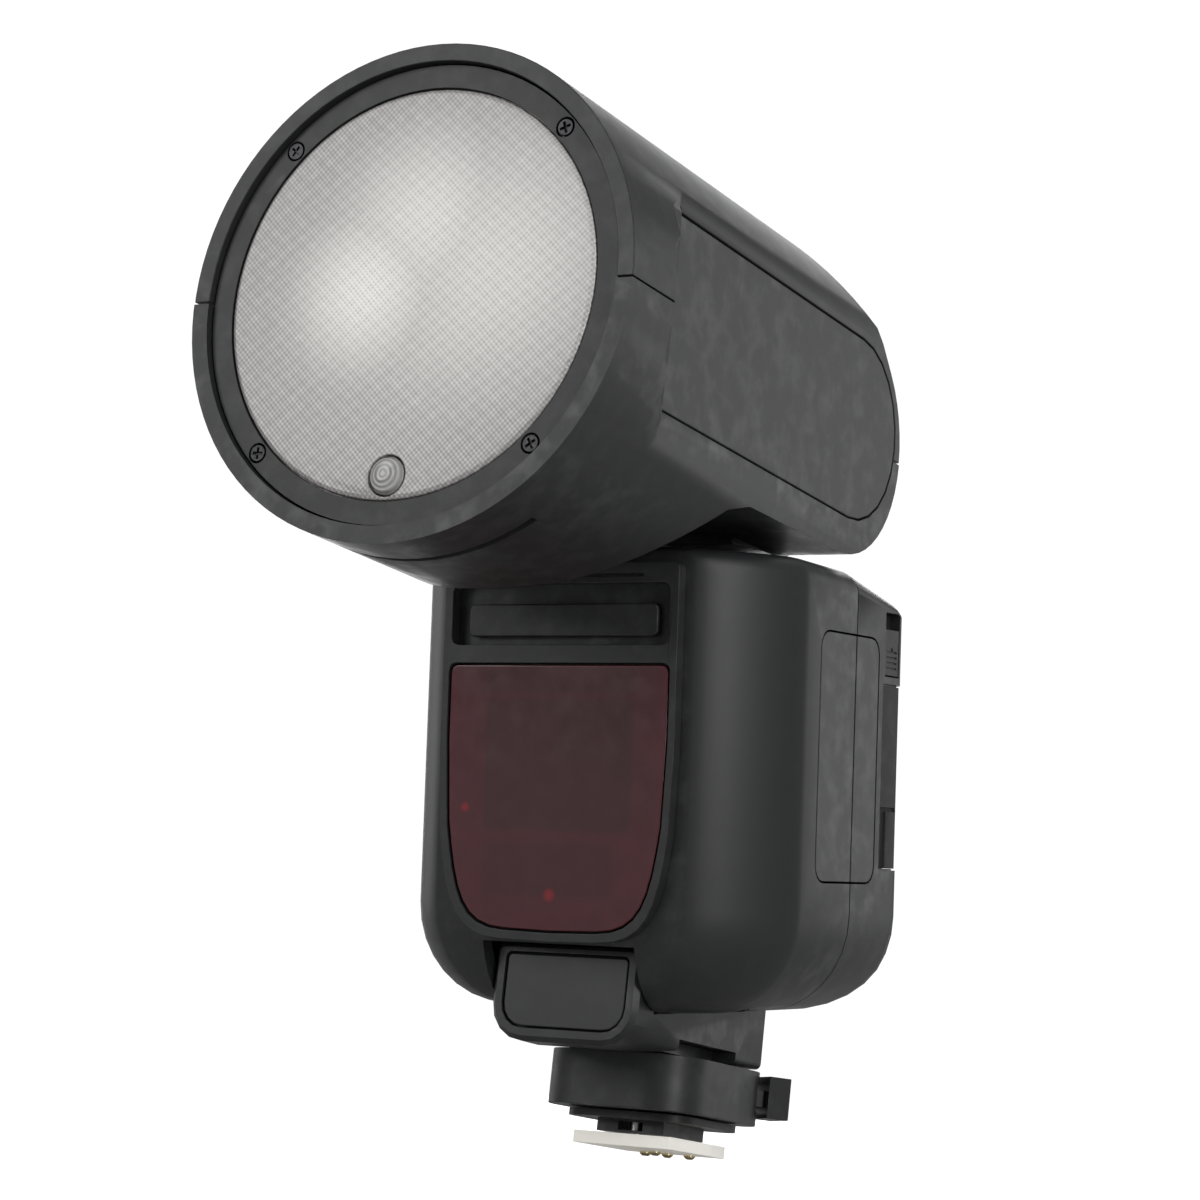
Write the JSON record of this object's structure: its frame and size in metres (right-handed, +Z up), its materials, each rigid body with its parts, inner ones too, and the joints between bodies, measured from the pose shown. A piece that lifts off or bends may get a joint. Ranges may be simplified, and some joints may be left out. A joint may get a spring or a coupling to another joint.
{
  "type": "speedlight flash",
  "caption": "Camera flash with a round tilting and panning head, a control body with rear screen and dial, a side battery and a quick-lock hot-shoe foot.",
  "frame": {"origin": "centre of the hot-shoe foot's sole", "axes": "-Y is the front, where the flash lens and the red sensor window face; +X is the side with the battery; +Z is up, square to the foot"},
  "size_m": [0.077, 0.1212, 0.1568],
  "materials": {
    "shell": "matte, fine texture",
    "trim": "matte",
    "keys": "matte",
    "red_window": "gloss, translucent dark red",
    "dark_window": "gloss",
    "lens": "clear, patterned",
    "reflector": "bright",
    "steel": "plain",
    "screws": "black",
    "foot_metal": "pale ivory, satin",
    "contacts": "bright",
    "board": "matte",
    "rubber": "matte",
    "cell": "matte"
  },
  "bodies": {
    "body": {"front_shell": "shell", "rear_shell": "shell", "chest_bezel": "shell", "sensor_window": "red_window", "sensor_board": "board", "battery_cradle": "trim", "screen_window": "dark_window", "screen_module": "trim", "usb_socket": "steel", "sync_socket": "steel", "main_board": "board", "flash_capacitor": "cell", "foot_plate": "foot_metal", "foot_riser": "trim", "contact_pin_1": "contacts", "contact_pin_2": "contacts", "contact_pin_3": "contacts", "contact_pin_4": "contacts", "lock_collar": "shell", "base_housing": "shell", "focus_lamp_window": "dark_window", "base_screw_left": "screws", "base_screw_right": "screws"},
    "cover": {"accessory_cover": "trim"},
    "battery": {"battery": "cell"},
    "latch": {"battery_latch": "keys"},
    "port_flap": {"port_cover": "rubber"},
    "key_1": {"function_key_1": "keys"},
    "key_2": {"function_key_2": "keys"},
    "key_3": {"function_key_3": "keys"},
    "key_4": {"function_key_4": "keys"},
    "mode_key": {"mode_button": "keys"},
    "menu_key": {"menu_button": "keys"},
    "test_key": {"test_button": "keys"},
    "set_key": {"set_button": "keys"},
    "power_knob": {"power_switch": "keys"},
    "dial": {"dial_ring": "keys"},
    "lever": {"lock_lever": "trim"},
    "lock_pin": {"locking_pin": "steel"},
    "neck": {"turntable": "shell", "neck_post": "shell", "tilt_axle": "steel"},
    "head": {"head_upper_shell": "shell", "head_lower_shell": "shell", "head_side_panel_left": "shell", "head_side_panel_right": "shell", "front_bezel": "trim", "bezel_screw_1": "screws", "bezel_screw_2": "screws", "bezel_screw_3": "screws", "bezel_screw_4": "screws", "flash_lens": "lens", "modelling_lamp_lens": "lens", "modelling_lamp_board": "board", "magnet_ring": "steel", "zoom_motor": "steel"},
    "zoom": {"zoom_carriage": "trim", "reflector": "reflector", "flash_tube": "lens"},
    "zoom_screw": {"lead_screw": "steel"}
  },
  "joints": [
    {"name": "head_pan", "type": "hinge", "parent": "body", "child": "neck", "pos_m": [0, -0.0135, 0.09606], "axis": [0, -0.1392, 0.9903], "range_deg": [-150, 180]},
    {"name": "head_tilt", "type": "hinge", "parent": "neck", "child": "head", "pos_m": [0, -0.01653, 0.11764], "axis": [-1, 0, 0], "range_deg": [-7, 120]},
    {"name": "zoom_travel", "type": "slide", "parent": "head", "child": "zoom", "axis": [0, 1, 0], "range_m": [0, 0.018]},
    {"name": "zoom_screw_spin", "type": "hinge", "parent": "head", "child": "zoom_screw", "pos_m": [0, -0.06, 0.14884], "axis": [0, 1, 0], "range_deg": [0, 1081]},
    {"name": "dial_turn", "type": "hinge", "parent": "body", "child": "dial", "pos_m": [0, 0.01438, 0.0414], "axis": [0, 0.9903, 0.1392], "continuous": true},
    {"name": "set_press", "type": "slide", "parent": "body", "child": "set_key", "axis": [0, -0.9903, -0.1392], "range_m": [0, 0.0008], "stiffness_N_per_m": 400, "springref_m": -0.0005},
    {"name": "key_1_press", "type": "slide", "parent": "body", "child": "key_1", "axis": [0, -0.9903, -0.1392], "range_m": [0, 0.0008], "stiffness_N_per_m": 400, "springref_m": -0.0005},
    {"name": "key_2_press", "type": "slide", "parent": "body", "child": "key_2", "axis": [0, -0.9903, -0.1392], "range_m": [0, 0.0008], "stiffness_N_per_m": 400, "springref_m": -0.0005},
    {"name": "key_3_press", "type": "slide", "parent": "body", "child": "key_3", "axis": [0, -0.9903, -0.1392], "range_m": [0, 0.0008], "stiffness_N_per_m": 400, "springref_m": -0.0005},
    {"name": "key_4_press", "type": "slide", "parent": "body", "child": "key_4", "axis": [0, -0.9903, -0.1392], "range_m": [0, 0.0008], "stiffness_N_per_m": 400, "springref_m": -0.0005},
    {"name": "mode_press", "type": "slide", "parent": "body", "child": "mode_key", "axis": [0, -0.9903, -0.1392], "range_m": [0, 0.0008], "stiffness_N_per_m": 400, "springref_m": -0.0005},
    {"name": "menu_press", "type": "slide", "parent": "body", "child": "menu_key", "axis": [0, -0.9903, -0.1392], "range_m": [0, 0.0008], "stiffness_N_per_m": 400, "springref_m": -0.0005},
    {"name": "test_press", "type": "slide", "parent": "body", "child": "test_key", "axis": [0, -0.9903, -0.1392], "range_m": [0, 0.0008], "stiffness_N_per_m": 400, "springref_m": -0.0005},
    {"name": "power_slide", "type": "slide", "parent": "body", "child": "power_knob", "axis": [1, 0, 0], "range_m": [0, 0.0034]},
    {"name": "battery_slide", "type": "slide", "parent": "body", "child": "battery", "axis": [1, 0, 0], "range_m": [0, 0.055]},
    {"name": "latch_slide", "type": "slide", "parent": "body", "child": "latch", "axis": [0, -0.1392, 0.9903], "range_m": [0, 0.0024], "stiffness_N_per_m": 200, "springref_m": -0.001},
    {"name": "port_flap_swing", "type": "hinge", "parent": "body", "child": "port_flap", "pos_m": [0.0344, 0.00455, 0.079], "axis": [0, -0.9903, -0.1392], "range_deg": [0, 100]},
    {"name": "cover_pull", "type": "slide", "parent": "body", "child": "cover", "axis": [0, -0.9903, -0.1392], "range_m": [0, 0.006]},
    {"name": "lever_turn", "type": "hinge", "parent": "body", "child": "lever", "pos_m": [0, 0, 0.0106], "axis": [0, 0, 1], "range_deg": [0, 45]},
    {"name": "lock_pin_travel", "type": "slide", "parent": "body", "child": "lock_pin", "axis": [0, 0, -1], "range_m": [0, 0.00181]}
  ],
  "couplings": [
    {"joint": "zoom_screw_spin", "follows": "zoom_travel", "rad_per_m": 1047.2},
    {"joint": "lock_pin_travel", "follows": "lever_turn", "m_per_rad": 0.002292}
  ]
}
